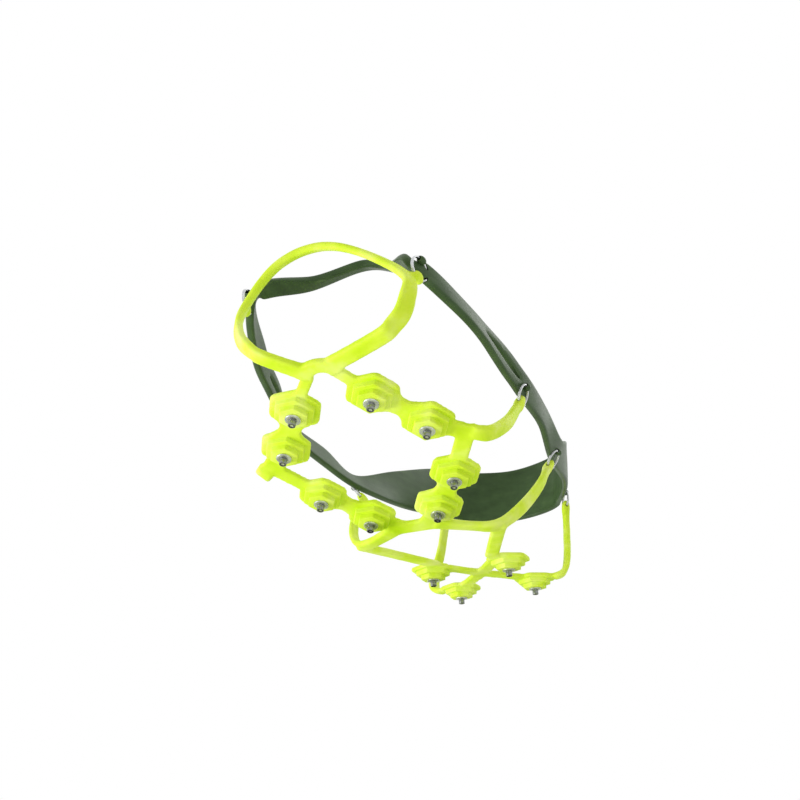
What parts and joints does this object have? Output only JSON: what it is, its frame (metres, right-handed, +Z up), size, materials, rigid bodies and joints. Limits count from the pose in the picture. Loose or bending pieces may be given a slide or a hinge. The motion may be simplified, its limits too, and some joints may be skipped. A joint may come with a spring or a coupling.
{
  "type": "ice cleat",
  "caption": "Slip-on ice cleat: a stretchy web of stepped hexagonal lugs with hard-tipped studs, hung by steel rings from a rubber harness that goes round a shoe.",
  "frame": {"origin": "middle of the bounding box, on the ground plane that the lowest stud tips touch", "axes": "+Z up, toe toward -Y, heel toward +Y, +X to the wearer's side that the picture shows on the right"},
  "size_m": [0.1332, 0.3074, 0.104],
  "materials": {
    "web": "satin moulded elastomer",
    "harness": "glossy moulded elastomer",
    "ring": "bright plated wire",
    "stud": "bright steel",
    "tip": "dark hard metal"
  },
  "bodies": {
    "cleat": {"nose_junction": "web", "front_run_right": "web", "front_run_left": "web", "rear_run_right": "web", "rear_run_left": "web", "tail_junction": "web", "toe_strap_right": "web", "toe_strap_left": "web", "toe_bail": "web", "side_strap_right": "web", "side_strap_left": "web", "mid_strap_right": "web", "mid_strap_left": "web", "heel_cross": "web", "heel_strap_right": "web", "heel_strap_left": "web", "harness_vamp": "harness", "harness_right": "harness", "harness_left": "harness", "harness_heel": "harness", "studs_front_right": "stud", "studs_front_left": "stud", "studs_rear_right": "stud", "studs_rear_left": "stud", "studs_heel_right": "stud", "studs_heel_left": "stud", "tips_front_right": "tip", "tips_front_left": "tip", "tips_rear_right": "tip", "tips_rear_left": "tip", "tips_heel_right": "tip", "tips_heel_left": "tip"},
    "ring_front_right": {"ring_front_right": "ring"},
    "ring_side_right": {"ring_side_right": "ring"},
    "ring_mid_right": {"ring_mid_right": "ring"},
    "ring_heel_right": {"ring_heel_right": "ring"},
    "ring_front_left": {"ring_front_left": "ring"},
    "ring_side_left": {"ring_side_left": "ring"},
    "ring_mid_left": {"ring_mid_left": "ring"},
    "ring_heel_left": {"ring_heel_left": "ring"}
  },
  "joints": [
    {"name": "ring_front_right_turn", "type": "hinge", "parent": "cleat", "child": "ring_front_right", "pos_m": [0.04697, -0.13506, 0.07217], "axis": [-0.973, 0.2292, 0.0291], "continuous": true},
    {"name": "ring_side_right_turn", "type": "hinge", "parent": "cleat", "child": "ring_side_right", "pos_m": [0.06171, -0.04129, 0.05556], "axis": [-0.9249, 0, 0.3802], "continuous": true},
    {"name": "ring_mid_right_turn", "type": "hinge", "parent": "cleat", "child": "ring_mid_right", "pos_m": [0.05662, 0.03172, 0.05256], "axis": [-0.8096, 0, 0.587], "continuous": true},
    {"name": "ring_heel_right_turn", "type": "hinge", "parent": "cleat", "child": "ring_heel_right", "pos_m": [0.04026, 0.12866, 0.06656], "axis": [-0.8573, -0.5043, 0.1034], "continuous": true},
    {"name": "ring_front_left_turn", "type": "hinge", "parent": "cleat", "child": "ring_front_left", "pos_m": [-0.02966, -0.14034, 0.07336], "axis": [-0.973, -0.2292, -0.0291], "continuous": true},
    {"name": "ring_side_left_turn", "type": "hinge", "parent": "cleat", "child": "ring_side_left", "pos_m": [-0.06171, -0.04129, 0.05556], "axis": [-0.9249, 0, -0.3802], "continuous": true},
    {"name": "ring_mid_left_turn", "type": "hinge", "parent": "cleat", "child": "ring_mid_left", "pos_m": [-0.05662, 0.03172, 0.05256], "axis": [-0.8096, 0, -0.587], "continuous": true},
    {"name": "ring_heel_left_turn", "type": "hinge", "parent": "cleat", "child": "ring_heel_left", "pos_m": [-0.04026, 0.12866, 0.06656], "axis": [-0.8573, 0.5043, -0.1034], "continuous": true}
  ]
}
